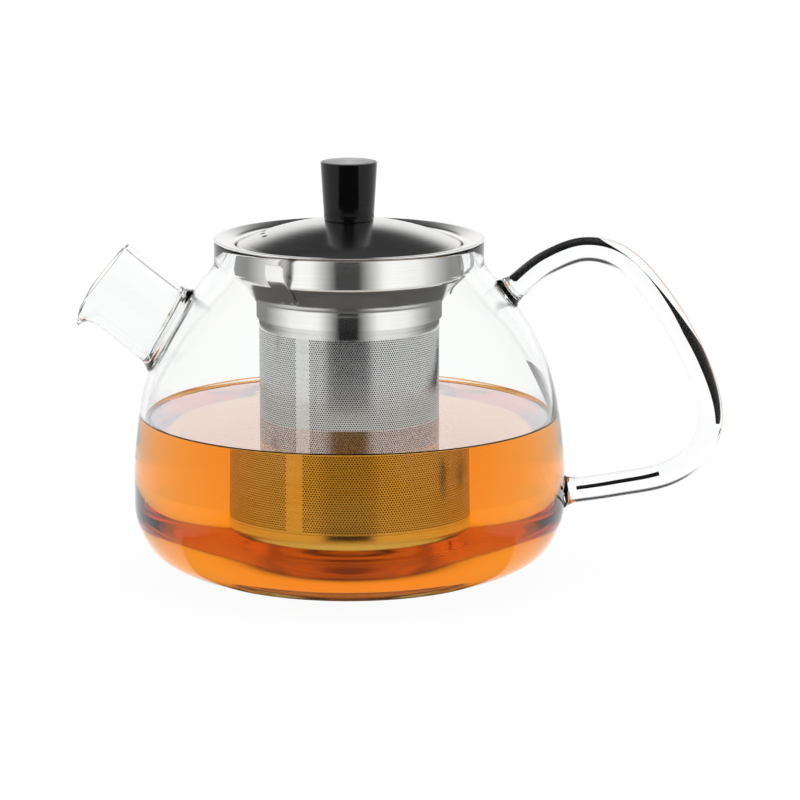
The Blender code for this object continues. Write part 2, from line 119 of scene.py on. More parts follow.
ROD_RADIUS = 4.15 * MM
HANDLE_KNOTS = (                 # x and z along the middle of the rod
    (48.0 * MM, 90.2 * MM),
    (55.5 * MM, 96.5 * MM),
    (66.0 * MM, 104.6 * MM),
    (79.0 * MM, 109.0 * MM),
    (92.0 * MM, 104.9 * MM),
    (104.9 * MM, 90.3 * MM),
    (116.0 * MM, 70.5 * MM),
    (120.9 * MM, 53.0 * MM),
    (117.3 * MM, 40.4 * MM),
    (106.3 * MM, 32.5 * MM),
    (89.0 * MM, 28.9 * MM),
    (73.5 * MM, 26.7 * MM),
    (66.0 * MM, 25.8 * MM),
)
PAD_FLARE = 1.5 * MM
PAD_FADE = 1.3 * MM
PAD_RING_AT = 2.3 * MM
PAD_RING = 0.35 * MM
PAD_RING_WIDTH = 0.5 * MM
ROD_SIDES = 56
ROD_STEPS = 14

TEA_LEVEL = 53.0 * MM
TEA_OVERLAP = 0.1 * MM           # how far the tea's mesh reaches into the glass
MENISCUS = 1.1 * MM
MENISCUS_FADE = 0.8 * MM
MENISCUS_REACH = 5.0 * MM
FILM_IOR = 1.9                   # higher than tea, so that the surface mirrors more
FILM_LIFT = 0.05 * MM
FILM_THICK = 0.08 * MM
FILM_EDGE = 2.2 * MM             # between the skin and the glass

SHEET = 0.55 * MM
LIP_RADIUS = COLLAR_HIGH.x
LIP_TOP = COLLAR_HIGH.z
LIP_DROP = 1.5 * MM
COLLAR_RADIUS = 38.2 * MM        # of the outside of the collar's wall
CONE_TOP = 101.0 * MM
CONE_BOTTOM = 92.0 * MM
NECKLET_RADIUS = 30.85 * MM
NECKLET_BOTTOM = COLLAR_LOW.z

FILTER_RADIUS = FILTER_HIGH.x
FILTER_SHEET = 0.25 * MM
# Gap from the sheet to the dark skin behind the holes, and the skin's thickness: the skin is
# painted shade
SHADE_SKIN_GAP = 0.02 * MM
SHADE_SKIN_SHEET = 0.1 * MM
HOLE_PITCH = 0.8 * MM
ROW_PITCH = HOLE_PITCH * math.sqrt(3.0) / 2.0
HOLE_RADIUS = 0.275 * MM
HOLES_LOW = 21.4 * MM
HOLES_HIGH = 83.2 * MM
SEAM_ANGLE = -120.0
SEAM_WIDTH = 5.2 * MM            # plain strip where the sheet's ends meet
PANELS = 6
HOLE_CORNERS = (210.0, 270.0, 330.0, 30.0, 90.0, 150.0)

CUP_CORNER = 2.8 * MM
CUP_SEAM = 0.03 * MM             # fine line where the cup is welded to the sheet
CUP_SHEET = 0.4 * MM
CUP_RING = ((23.0 * MM, 0.0), (22.2 * MM, 0.5 * MM), (21.0 * MM, 0.8 * MM), (0.0, 0.8 * MM))

CLIP_ANGLES = {"clip_front": -124.4, "clip_right": -4.4, "clip_back": 115.6}
CLIP_WIDTH = 7.0 * MM
CLIP_SHEET = 0.4 * MM
CLIP_SOFT = 0.09 * MM            # bevel of the leaf's edges
CLIP_FOOT = (33.6 * MM, 94.5 * MM)
CLIP_KNEE = (41.45 * MM, 104.5 * MM)
CLIP_TOP = 109.2 * MM
CLIP_KNEE_RADIUS = 2.4 * MM
CLIP_END = 0.86                  # width of the leaf's ends as a share of its width
WELD_APART = 3.4 * MM
WELD_PROFILE = ((0.0, 0.02 * MM), (0.3 * MM, 0.04 * MM), (0.48 * MM, 0.12 * MM),
                (0.6 * MM, 0.1 * MM), (0.68 * MM, -0.05 * MM), (0.0, -0.1 * MM))
WELD_SINK = 0.42                 # nugget above the leaf's middle, share of its thickness

LID_RADIUS = LID_HIGH.x
LID_SHEET = 0.6 * MM
LID_EDGE = 111.5 * MM
LID_DOME_RADIUS = 84.0 * MM
LID_EDGE_ROLL = 1.2 * MM
LID_HOLE = 2.1 * MM
VENT_RADIUS = 1.1 * MM
VENT_SPACING = 5.5 * MM
VENT_OUT = 28.5 * MM
VENT_ANGLE = 183.0
VENT_REACH = 5.0 * MM            # half the length of the pin that cuts a vent
VENT_HEIGHT = LID_EDGE + 3.0 * MM

KNOB_RADIUS_LOW = 8.25 * MM
KNOB_RADIUS_HIGH = KNOB_HIGH.x
CAP_RADIUS = CAP_HIGH.x
CAP_THICK = 0.8 * MM
CAP_GAP = 0.12 * MM              # round the cap in its seat
CAP_BEVEL = 0.18 * MM
SEAT_CHAMFER = 0.08 * MM         # round the mouth of the cap's seat
KNOB_SOFT = 0.35 * MM            # radius of the knob's edges
KNOB_SEAT = 0.08 * MM            # hairline between the knob and the lid
SCREW_RADIUS = 1.5 * MM
SCREW_REACH = 11.0 * MM
CLEARANCE = 0.3 * MM

SEGMENTS = 192
MERGE = 0.001 * MM               # points nearer than this are one
SHARP = 35.0                     # degrees between faces above which their edge stays sharp
POT_SHARP = 38.0

# ---- looks ---------------------------------------------------------------
GLASS_IOR = 1.47
GLASS_SPECULAR = (0.15, 0.15, 0.15, 1.0)
TEA_IOR = 1.333
TEA_SPECULAR = (0.2, 0.2, 0.2, 1.0)
TEA_COLOUR = (0.986, 0.745, 0.055, 1.0)
TEA_DENSITY = 44.0
KNOB_SPECULAR = 0.25
# Brushed steels: dark, light, lowest and highest roughness, fineness of the lines, anisotropy
STEELS = {
    "lid_brushed": ((0.62, 0.61, 0.60), (0.78, 0.77, 0.76), 0.14, 0.22, 5200.0, 0.5),
    "collar_brushed": ((0.80, 0.79, 0.78), (0.88, 0.87, 0.86), 0.15, 0.24, 4200.0, 0.3),
    "filter_sheet": ((0.64, 0.635, 0.63), (0.70, 0.695, 0.69), 0.18, 0.24, 900.0, 0.0),
    # Near-black steel: painted shade on the inside of the filter sheet and on the dark skin behind
    # its holes
    "filter_painted_shade": ((0.016, 0.016, 0.016), (0.03, 0.03, 0.03), 0.4, 0.5, 900.0, 0.0),
    "cap_brushed": ((0.14, 0.14, 0.14), (0.20, 0.20, 0.20), 0.2, 0.3, 9000.0, 0.4),
}
WHITE = (1.0, 1.0, 1.0, 1.0)

# ---- studio: directions are unit vectors, so these are shares of one -----
SIDE_PANELS = (0.30, 0.55)       # |x| from dark to white
BACK_PANEL_EDGE = (0.30, 0.60)   # y from dark to white
BACK_PANEL_TOP = (0.26, 0.50)    # z from white to dark
TOP_PANEL = (0.86, 0.94)         # z from dark to white
ROOM_GREY = 0.035
PANEL_STRENGTH = 1.1
FLOOR_HALF = 6.0
FLOOR_DROP = 0.2 * MM
FLOOR_GLOW = 0.95
FLOOR_GREY = 0.05
PATH_LENGTH = 32                 # surfaces that light may cross in the glass and the tea
FLOOR_MOTTLE = 0.02
# Stretches of table that only refractions meet: y near the pot, y far from it, grey
WEDGES = ((-0.43, -5.5, 0.012), (-0.28, -0.43, 0.55), (-0.085, -0.28, 0.75))
WEDGE_SLOPES = (0.40, 0.62)      # |x| over |y| from the wedge's grey to the table's white
# Corners x, y of the card that only reflections meet, then of those for refractions
APRON = ((-4.3, -5.5), (4.3, -5.5), (0.12, -0.035), (-0.12, -0.035))
HANDLE_FLAG = ((0.079, 0.028), (0.116, 0.028), (0.116, 0.170), (0.079, 0.170))
HANDLE_FLAG_HEIGHT = 45.0 * MM
ROD_FLAG = ((0.076, 0.066), (0.114, 0.066), (0.114, 0.125), (0.076, 0.125))
FLAG_GREY = 0.01
FLAG_TINT = (1.0, 0.97, 0.92)    # slightly warm
# Rings that only the steel reflects: inner radius and height, outer radius and height, grey
RINGS = ((29.6 * MM, 53.3 * MM, 65.0 * MM, 53.3 * MM, 0.80),
         (31.5 * MM, 84.3 * MM, 47.0 * MM, 81.2 * MM, 0.075))
# Sleeves round the steel, inside the glass, that only the steel reflects: radius, z range, grey
SLEEVES = ((42.3 * MM, 98.0 * MM, 108.6 * MM, 0.06), (33.0 * MM, 82.5 * MM, 90.5 * MM, 0.02))
SLEEVE_GLOW = 1.15
SLEEVE_DARK = 0.10               # share of a sleeve's radius where its dark middle ends
SLEEVE_TONES = ((0.34, 0.95), (0.42, 1.0), (0.66, 0.9), (0.93, 0.22))   # share, tone
ROUND_STEPS = 96

# ---- camera --------------------------------------------------------------
CAMERA_DISTANCE = 1.272
CAMERA_PITCH = 11.46
CAMERA_AIM_Z = 57.8 * MM
CAMERA_LENS = 174.5
CAMERA_SENSOR = 36.0
CAMERA_CLIP = (0.01, 50.0)


def make_camera():
    """Long lens, level with the front of the pot and a little above it."""
    data = bpy.data.cameras.new("camera")
    data.lens = CAMERA_LENS
    data.sensor_width = CAMERA_SENSOR
    data.clip_start, data.clip_end = CAMERA_CLIP
    camera = bpy.data.objects.new("camera", data)
    bpy.context.scene.collection.objects.link(camera)
    low, high = cad_box
    pitch = math.radians(CAMERA_PITCH)
    rise = CAMERA_DISTANCE * math.tan(pitch)
    camera.location = ((low.x + high.x) / 2.0, -CAMERA_DISTANCE, CAMERA_AIM_Z + rise)
    camera.rotation_euler = (math.pi / 2.0 - pitch, 0.0, 0.0)
    bpy.context.scene.camera = camera


# ---- node helpers --------------------------------------------------------
def blank(name):
    """A material with its node tree and Principled shader."""
    made = bpy.data.materials.new(name)
    made.use_nodes = True
    tree = made.node_tree
    return made, tree, tree.nodes["Principled BSDF"]


def add(tree, kind, **settings):
    """A new node with its settings."""
    node = tree.nodes.new(kind)
    for key, value in settings.items():
        setattr(node, key, value)
    return node


def maths(tree, operation, first, second=None):
    """A Math node; each input is a socket or a number."""
    node = add(tree, "ShaderNodeMath", operation=operation)
    for slot, value in enumerate((first, second)):
        if value is None:
            continue
        if isinstance(value, (int, float)):
            node.inputs[slot].default_value = value
        else:
            tree.links.new(value, node.inputs[slot])
    return node.outputs[0]


def noise(tree, vector, scale, detail=2.0, roughness=0.5):
    """A noise texture's value."""
    node = add(tree, "ShaderNodeTexNoise")
    node.inputs["Scale"].default_value = scale
    node.inputs["Detail"].default_value = detail
    node.inputs["Roughness"].default_value = roughness
    tree.links.new(vector, node.inputs["Vector"])
    return node.outputs["Fac"]


def remap(tree, value, low, high, start=0.0, end=1.0):
    """The value moved from one range to another."""
    node = add(tree, "ShaderNodeMapRange")
    tree.links.new(value, node.inputs["Value"])
    node.inputs["From Min"].default_value = start
    node.inputs["From Max"].default_value = end
    node.inputs["To Min"].default_value = low
    node.inputs["To Max"].default_value = high
    return node.outputs["Result"]


def smooth_step(tree, value, low, high):
    """0 below low, 1 above high, with a soft change between."""
    node = add(tree, "ShaderNodeMapRange", interpolation_type="SMOOTHSTEP")
    tree.links.new(value, node.inputs["Value"])
    node.inputs["From Min"].default_value = low
    node.inputs["From Max"].default_value = high
    return node.outputs["Result"]


def ramp(tree, value, stops):
    """A colour ramp from (place, colour) stops."""
    node = add(tree, "ShaderNodeValToRGB")
    elements = node.color_ramp.elements
    while len(elements) < len(stops):
        elements.new(0.5)
    for element, (place, colour) in zip(elements, stops):
        element.position = place
        element.color = (*colour, 1.0)
    tree.links.new(value, node.inputs["Fac"])
    return node.outputs["Color"]


def bump(tree, shader, height, distance, strength=1.0):
    """Bump on a shader."""
    node = add(tree, "ShaderNodeBump")
    node.inputs["Strength"].default_value = strength
    node.inputs["Distance"].default_value = distance
    tree.links.new(height, node.inputs["Height"])
    tree.links.new(node.outputs["Normal"], shader.inputs["Normal"])


def place_vector(tree):
    """The surface point in metres."""
    return add(tree, "ShaderNodeTexCoord").outputs["Object"]


def place_parts(tree):
    """The surface point's x, y and z."""
    split = add(tree, "ShaderNodeSeparateXYZ")
    tree.links.new(place_vector(tree), split.inputs[0])
    return split.outputs


def emission(name):
    """A material that only gives light, with its tree and emission node."""
    made, tree, shader = blank(name)
    tree.nodes.remove(shader)
    glow = add(tree, "ShaderNodeEmission")
    tree.links.new(glow.outputs[0], tree.nodes["Material Output"].inputs["Surface"])
    return made, tree, glow


def ring_vector(tree, along, around):
    """Coordinates that stretch a pattern round the Z axis."""
    x, y, z = place_parts(tree)
    square = maths(tree, "ADD", maths(tree, "MULTIPLY", x, x), maths(tree, "MULTIPLY", y, y))
    radius = maths(tree, "MAXIMUM", maths(tree, "SQRT", square), 0.0001)
    join = add(tree, "ShaderNodeCombineXYZ")
    tree.links.new(maths(tree, "MULTIPLY", maths(tree, "DIVIDE", x, radius), around),
                   join.inputs[0])
    tree.links.new(maths(tree, "MULTIPLY", maths(tree, "DIVIDE", y, radius), around),
                   join.inputs[1])
    tree.links.new(maths(tree, "MULTIPLY", maths(tree, "ADD", radius, z), along),
                   join.inputs[2])
    return join.outputs[0]


# ---- materials -----------------------------------------------------------
def glass_material():
    """Clear borosilicate glass with the faint unevenness of blown glass."""
    made, tree, shader = blank("clear_glass")
    shader.inputs["Transmission Weight"].default_value = 1.0
    shader.inputs["IOR"].default_value = GLASS_IOR
    shader.inputs["Specular Tint"].default_value = GLASS_SPECULAR
    point = place_vector(tree)
    tint = ramp(tree, noise(tree, point, 18.0),
                ((0.3, (0.965, 0.98, 0.972)), (0.7, (0.985, 0.992, 0.988))))
    tree.links.new(tint, shader.inputs["Base Color"])
    smear = remap(tree, noise(tree, point, 60.0, 3.0), 0.0, 0.012, 0.45, 0.75)
    tree.links.new(smear, shader.inputs["Roughness"])
    bump(tree, shader, noise(tree, point, 26.0, 1.0), 0.00012, 0.5)
    return made


def tea_material():
    """Clear amber tea, coloured by its depth."""
    made, tree, shader = blank("tea")
    shader.inputs["Base Color"].default_value = WHITE
    shader.inputs["Transmission Weight"].default_value = 1.0
    shader.inputs["IOR"].default_value = TEA_IOR
    shader.inputs["Specular Tint"].default_value = TEA_SPECULAR
    point = place_vector(tree)
    smear = remap(tree, noise(tree, point, 40.0, 2.0), 0.0, 0.01, 0.4, 0.8)
    tree.links.new(smear, shader.inputs["Roughness"])
    depth = add(tree, "ShaderNodeVolumeAbsorption")
    depth.inputs["Color"].default_value = TEA_COLOUR
    depth.inputs["Density"].default_value = TEA_DENSITY
    tree.links.new(depth.outputs[0], tree.nodes["Material Output"].inputs["Volume"])
    return made


def film_material():
    """Bright skin of the tea, which mirrors at a low angle."""
    made, tree, shader = blank("tea_film")
    shader.inputs["Transmission Weight"].default_value = 1.0
    shader.inputs["IOR"].default_value = FILM_IOR
    point = place_vector(tree)
    tint = ramp(tree, noise(tree, point, 30.0),
                ((0.3, (0.80, 0.72, 0.84)), (0.7, (0.82, 0.74, 0.86))))
    tree.links.new(tint, shader.inputs["Base Color"])
    smear = remap(tree, noise(tree, point, 40.0, 2.0), 0.0, 0.01, 0.4, 0.8)
    tree.links.new(smear, shader.inputs["Roughness"])
    return made


def brushed_steel(name):
    """Steel brushed round the axis: fine lines in colour, roughness and bump."""
    dark, light, rough_low, rough_high, lines, anisotropy = STEELS[name]
    made, tree, shader = blank(name)
    shader.inputs["Metallic"].default_value = 1.0
    shader.inputs["Anisotropic"].default_value = anisotropy
    rings = ring_vector(tree, lines, 1.6)
    fine = noise(tree, rings, 1.0, 3.0, 0.6)
    broad = noise(tree, place_vector(tree), 30.0, 2.0)
    both = maths(tree, "ADD", maths(tree, "MULTIPLY", fine, 0.8),
                 maths(tree, "MULTIPLY", broad, 0.2))
    tree.links.new(ramp(tree, both, ((0.3, dark), (0.7, light))), shader.inputs["Base Color"])
    tree.links.new(remap(tree, both, rough_low, rough_high, 0.3, 0.7), shader.inputs["Roughness"])
    bump(tree, shader, fine, 0.00001, 0.2)
    tangent = add(tree, "ShaderNodeTangent", direction_type="RADIAL", axis="Z")
    tree.links.new(tangent.outputs[0], shader.inputs["Tangent"])
    return made


def plastic_material():
    """Satin black plastic with a very fine grain."""
    made, tree, shader = blank("black_plastic")
    point = place_vector(tree)
    shader.inputs["Specular IOR Level"].default_value = KNOB_SPECULAR
    grain = noise(tree, point, 2500.0, 2.0)
    tree.links.new(ramp(tree, grain, ((0.3, (0.002, 0.002, 0.002)), (0.7, (0.005, 0.005, 0.005)))),
                   shader.inputs["Base Color"])
    tree.links.new(remap(tree, grain, 0.09, 0.13, 0.3, 0.7), shader.inputs["Roughness"])
    bump(tree, shader, grain, 0.000004, 0.1)
    return made


def rubber_material():
    """Matt black rubber."""
    made, tree, shader = blank("washer_rubber")
    point = place_vector(tree)
    grain = noise(tree, point, 1500.0, 3.0)
    tree.links.new(ramp(tree, grain, ((0.3, (0.02, 0.02, 0.02)), (0.7, (0.04, 0.04, 0.04)))),
                   shader.inputs["Base Color"])
    tree.links.new(remap(tree, grain, 0.6, 0.8, 0.3, 0.7), shader.inputs["Roughness"])
    bump(tree, shader, grain, 0.00005, 0.4)
    return made


def floor_material():
    """White light table."""
    made, tree, shader = blank("floor")
    point = place_vector(tree)
    tone = ramp(tree, noise(tree, point, 3.0),
                ((0.0, (FLOOR_GREY,) * 3), (1.0, (FLOOR_GREY + FLOOR_MOTTLE,) * 3)))
    tree.links.new(tone, shader.inputs["Base Color"])
    shader.inputs["Roughness"].default_value = 0.9
    shader.inputs["Specular IOR Level"].default_value = 0.1
    shader.inputs["Emission Color"].default_value = WHITE
    shader.inputs["Emission Strength"].default_value = FLOOR_GLOW
    return made


def flag_material(name, grey):
    """Even grey on the front of a card that is clear from behind."""
    made, tree, glow = emission(name)
    glow.inputs["Color"].default_value = (*[grey * share for share in FLAG_TINT], 1.0)
    mix = add(tree, "ShaderNodeMixShader")
    tree.links.new(add(tree, "ShaderNodeNewGeometry").outputs["Backfacing"], mix.inputs[0])
    tree.links.new(glow.outputs[0], mix.inputs[1])
    tree.links.new(add(tree, "ShaderNodeBsdfTransparent").outputs[0], mix.inputs[2])
    tree.links.new(mix.outputs[0], tree.nodes["Material Output"].inputs["Surface"])
    return made


def wedge_material(name, grey):
    """Grey along the middle of the table that softens to white at both sides."""
    made, tree, glow = emission(name)
    x, y, z = place_parts(tree)
    slope = maths(tree, "DIVIDE", maths(tree, "ABSOLUTE", x), maths(tree, "ABSOLUTE", y))
    side = smooth_step(tree, slope, *WEDGE_SLOPES)
    light = maths(tree, "ADD", grey, maths(tree, "MULTIPLY", side, 1.0 - grey))
    tree.links.new(light, glow.inputs["Color"])
    return made


def sleeve_material(name, radius, grey):
    """Dark in the middle, white beside it and grey at the outer edges."""
    made, tree, glow = emission(name)
    x, y, z = place_parts(tree)
    across = maths(tree, "DIVIDE", maths(tree, "ABSOLUTE", x), radius)
    stops = ((SLEEVE_DARK, grey),) + SLEEVE_TONES
    tone = ramp(tree, across, [(place, (level,) * 3) for place, level in stops])
    tree.links.new(tone, glow.inputs["Color"])
    glow.inputs["Strength"].default_value = SLEEVE_GLOW
    return made


# ---- shape helpers -------------------------------------------------------
def smooth_path(knots, per_span):
    """Points on a Catmull-Rom curve through the knots."""
    knots = [Vector(k) for k in knots]
    ring = [knots[0] * 2.0 - knots[1]] + knots + [knots[-1] * 2.0 - knots[-2]]
    points = []
    for i in range(1, len(ring) - 2):
        a, b, c, d = ring[i - 1:i + 3]
        for step in range(per_span):
            t = step / per_span
            points.append(0.5 * (2.0 * b + (c - a) * t
                                 + (2.0 * a - 5.0 * b + 4.0 * c - d) * t * t
                                 + (3.0 * b - a - 3.0 * c + d) * t * t * t))
    points.append(knots[-1])
    return points


def offset_path(points, distance):
    """The path moved sideways, to its left as it runs."""
    moved = []
    for i, here in enumerate(points):
        before = points[max(i - 1, 0)]
        after = points[min(i + 1, len(points) - 1)]
        along = (after - before).normalized()
        moved.append(here + Vector((-along.y, along.x)) * distance)
    return moved


def arc(centre, radius, start, end, steps):
    """Points on an arc; angles in degrees from +X."""
    points = []
    for i in range(steps + 1):
        angle = math.radians(start + (end - start) * i / steps)
        points.append((centre[0] + radius * math.cos(angle),
                       centre[1] + radius * math.sin(angle)))
    return points


def new_piece(name, mesh, surface):
    """A shown object with its material."""
    piece = bpy.data.objects.new(name, mesh)
    bpy.context.scene.collection.objects.link(piece)
    if surface is not None:
        mesh.materials.append(surface)
    return piece


def finish_mesh(mesh, sharp=SHARP):
    """Faces out, smooth, with sharp edges kept."""
    work = bmesh.new()
    work.from_mesh(mesh)
    bmesh.ops.remove_doubles(work, verts=work.verts, dist=MERGE)
    bmesh.ops.recalc_face_normals(work, faces=work.faces)
    if work.calc_volume(signed=True) < 0.0:
        bmesh.ops.reverse_faces(work, faces=work.faces)
    work.to_mesh(mesh)
    work.free()
    mesh.shade_smooth()
    mesh.set_sharp_from_angle(angle=math.radians(sharp))


def turned(name, profile, surface, segments=SEGMENTS, closed=True, sharp=SHARP):
    """A profile (radius, height) turned about the Z axis."""
    profile = [(p[0], p[1]) for p in profile]
    count = len(profile)
    angles = [math.tau * k / segments for k in range(segments)]
    verts = [(r * math.cos(a), r * math.sin(a), z) for a in angles for r, z in profile]
    faces = []
    spans = count if closed else count - 1
    for k in range(segments):
        here = k * count
        there = ((k + 1) % segments) * count
        for i in range(spans):
            j = (i + 1) % count
            faces.append((here + i, there + i, there + j, here + j))
    mesh = bpy.data.meshes.new(name)
    mesh.from_pydata(verts, [], faces)
    work = bmesh.new()
    work.from_mesh(mesh)
    bmesh.ops.remove_doubles(work, verts=work.verts, dist=MERGE)
    bmesh.ops.dissolve_degenerate(work, edges=work.edges, dist=MERGE / 2.0)
    work.to_mesh(mesh)
    work.free()
    finish_mesh(mesh, sharp)
    return new_piece(name, mesh, surface)


def skinned(name, rings, surface, sharp=SHARP):
    """A skin over equal rings of points, with flat ends."""
    sides = len(rings[0])
    verts = [tuple(p) for ring in rings for p in ring]
    faces = []
    for low in range(len(rings) - 1):
        for i in range(sides):
            j = (i + 1) % sides
            faces.append((low * sides + i, low * sides + j,
                          (low + 1) * sides + j, (low + 1) * sides + i))
    faces.append(tuple(reversed(range(sides))))
    last = (len(rings) - 1) * sides
    faces.append(tuple(range(last, last + sides)))
    mesh = bpy.data.meshes.new(name)
    mesh.from_pydata(verts, [], faces)
    finish_mesh(mesh, sharp)
    return new_piece(name, mesh, surface)


def apply_modifiers(piece):
    """Make what the modifiers give the piece's own mesh."""
    view = bpy.context.evaluated_depsgraph_get()
    mesh = bpy.data.meshes.new_from_object(piece.evaluated_get(view))
    piece.modifiers.clear()
    piece.data = mesh


def resurface(piece, surface, sharp):
    """One material and one smoothing over a piece that has been cut and joined."""
    piece.data.materials.clear()
    piece.data.materials.append(surface)
    piece.data.polygons.foreach_set("material_index", [0] * len(piece.data.polygons))
    piece.data.shade_smooth()
    piece.data.set_sharp_from_angle(angle=math.radians(sharp))


def combine(piece, tool, operation):
    """Boolean with the tool, applied to the piece; the tool is removed."""
    step = piece.modifiers.new("combine", "BOOLEAN")
    step.operation = operation
    step.solver = "EXACT"
    step.object = tool
    apply_modifiers(piece)
    bpy.data.objects.remove(tool, do_unlink=True)


# ---- glass ---------------------------------------------------------------
def body_outer(per_span=10):
    """Outer side of the body from the edge of the base up to the rim."""
    points = smooth_path(BODY_KNOTS, per_span)
    points.append(Vector((NECK_RADIUS, NECK_START + 2.0 * MM)))
    points.append(Vector((NECK_RADIUS, RIM_HEIGHT - WALL / 2.0)))
    return points


OUTER = body_outer()
OUTER_R = np.array([p.x for p in OUTER])
OUTER_Z = np.array([p.y for p in OUTER])


def above_body(point):
    """Distance of a point outside the body's surface, negative inside it."""
    slope = ((np.interp(point.z + 0.5 * MM, OUTER_Z, OUTER_R)
              - np.interp(point.z - 0.5 * MM, OUTER_Z, OUTER_R)) / MM)
    gap = math.hypot(point.x, point.y) - float(np.interp(point.z, OUTER_Z, OUTER_R))
    return gap / math.sqrt(1.0 + slope * slope)


def inner_side(depth):
    """Inside of the wall from the base up, at a depth below the outer side."""
    return [p for p in offset_path(OUTER, depth) if p.y > BASE_THICK]


def inner_base(lift=0.0):
    """Inside of the base from the axis outwards, slightly domed and ringed."""
    points = []
    steps = 36
    for i in range(steps + 1):
        share = i / steps
        dome = BASE_DOME * (1.0 - share * share)
        ring = BASE_RIPPLE * math.cos(share * math.pi * BASE_RINGS) * (1.0 - share)
        points.append((BASE_RADIUS * share, BASE_THICK + dome + ring - lift))
    return points


def glass_shell(surface):
    """The blown body: base, belly, shoulder and neck."""
    rim = arc((NECK_RADIUS - WALL / 2.0, RIM_HEIGHT - WALL / 2.0), WALL / 2.0, 165.0, 15.0, 10)
    down = [tuple(p) for p in reversed(OUTER)]
    up = [tuple(p) for p in inner_side(WALL)]
    profile = inner_base() + up + rim + down + [(0.0, 0.0)]
    return turned("pot_glass", profile, surface, closed=False, sharp=60.0)


def mid_wall():
    """Solid that fills the body to the middle of its wall."""
    side = [tuple(p) for p in offset_path(OUTER, WALL * 0.5)]
    profile = [(0.0, 0.5 * MM)] + side + [(0.0, RIM_HEIGHT - WALL)]
    return turned("mid_wall", profile, None, closed=False)


def weld_shape(gap, flare, fade):
    """Extra radius next to the body: a fillet with fading ripples."""
    if gap < 0.0:
        return flare
    fillet = flare * math.exp(-(gap / fade) ** 1.3)
    wave = math.sin(math.tau * gap / RIPPLE_LENGTH)
    return fillet + RIPPLE_HEIGHT * wave * math.exp(-gap / RIPPLE_FADE)


def spout_ring(station, end, inset):
    """One section of the spout and the direction in which it runs."""
    centre = Vector((station[0], 0.0, station[1]))
    tilt = math.radians(station[2] / MM)
    along = Vector((-math.cos(tilt), 0.0, math.sin(tilt)))
    up = Vector((math.sin(tilt), 0.0, math.cos(tilt)))
    across = Vector((0.0, 1.0, 0.0))
    near_end = max(0.0, 1.0 - (end - centre).length / BEAK_SPREAD)
    ring = []
    for i in range(SPOUT_SIDES):
        angle = math.tau * i / SPOUT_SIDES
        out = up * math.cos(angle) + across * math.sin(angle)
        radius = station[3] - inset
        gap = above_body(centre + out * radius)
        if inset == 0.0:
            radius += weld_shape(gap, WELD_FLARE, WELD_FADE)
        else:
            radius += weld_shape(-WALL - gap, 0.0, WELD_FADE)
        low = max(0.0, -math.cos(angle)) ** BEAK_SHARPNESS
        lip = (up * BEAK_DOWN + along * BEAK_BACK) * (SPOUT_BEAK * low * near_end ** 2)
        ring.append(centre + out * radius - lip)
    return ring, along


def mouth_rings(ring, along):
    """Two smaller rings that round off the mouth."""
    rounding = SPOUT_WALL * 0.35
    middle = sum(ring, Vector()) / SPOUT_SIDES
    first = [p + along * rounding * 0.7 + (middle - p).normalized() * rounding * 0.5
             for p in ring]
    second = [p + along * rounding * 0.3 + (middle - p).normalized() * rounding for p in first]
    return [first, second]


def spout_rings(inset, run_past):
    """Sections of the spout from inside the body to the mouth."""
    # The tilt is scaled by MM here and scaled back in spout_ring
    scaled = [(x, z, tilt * MM, radius) for x, z, tilt, radius in SPOUT_STATIONS]
    path = smooth_path(scaled, SPOUT_STEPS)
    end = Vector((path[-1][0], 0.0, path[-1][1]))
    rings = []
    for station in path:
        ring, along = spout_ring(station, end, inset)
        rings.append(ring)
    if run_past > 0.0:
        return rings + [[p + along * run_past for p in rings[-1]]]
    return rings + mouth_rings(rings[-1], along)


def handle_rings():
    """Sections of the rod from inside the shoulder round to inside the belly."""
    path = smooth_path(HANDLE_KNOTS, ROD_STEPS)
    across = Vector((0.0, 1.0, 0.0))
    rings = []
    for i, here in enumerate(path):
        before = path[max(i - 1, 0)]
        after = path[min(i + 1, len(path) - 1)]
        flat = (after - before).normalized()
        side = Vector((-flat.y, 0.0, flat.x))
        centre = Vector((here.x, 0.0, here.y))
        ring = []
        for k in range(ROD_SIDES):
            angle = math.tau * k / ROD_SIDES
            out = side * math.cos(angle) + across * math.sin(angle)
            gap = above_body(centre + out * ROD_RADIUS)
            bead = PAD_RING * math.exp(-((gap - PAD_RING_AT) / PAD_RING_WIDTH) ** 2)
            radius = ROD_RADIUS + weld_shape(gap, PAD_FLARE, PAD_FADE) + bead
            ring.append(centre + out * radius)
        rings.append(ring)
    return rings


def pot_glass(surface):
    """Body, spout and handle fused into one piece of glass."""
    pot = glass_shell(surface)
    spout = skinned("spout_solid", spout_rings(0.0, 0.0), surface)
    combine(spout, mid_wall(), "DIFFERENCE")
    handle = skinned("handle_solid", handle_rings(), surface)
    combine(handle, mid_wall(), "DIFFERENCE")
    combine(pot, spout, "UNION")
    combine(pot, handle, "UNION")
    bore = skinned("bore", spout_rings(SPOUT_WALL, SPOUT_RUN_PAST), surface)
    combine(pot, bore, "DIFFERENCE")
    resurface(pot, surface, POT_SHARP)
    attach(pot, "pot")
    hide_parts("glass_body", "glass_spout", "glass_handle")


def tea(surface):
    """Tea that fills the pot to its level, with a raised edge at the glass."""
    side = [tuple(p) for p in inner_side(WALL - TEA_OVERLAP) if p.y < TEA_LEVEL]
    wall_r = side[-1][0]
    profile = inner_base(TEA_OVERLAP) + side
    profile.append((float(np.interp(TEA_LEVEL + MENISCUS, OUTER_Z, OUTER_R)) - WALL + TEA_OVERLAP,
                    TEA_LEVEL + MENISCUS))
    steps = 14
    for i in range(1, steps + 1):
        inward = MENISCUS_REACH * (i / steps) ** 1.5
        profile.append((wall_r - inward, TEA_LEVEL + MENISCUS * math.exp(-inward / MENISCUS_FADE)))
    profile.append((0.0, TEA_LEVEL))
    piece = turned("tea", profile, surface, closed=False, sharp=50.0)
    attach(piece, "pot")


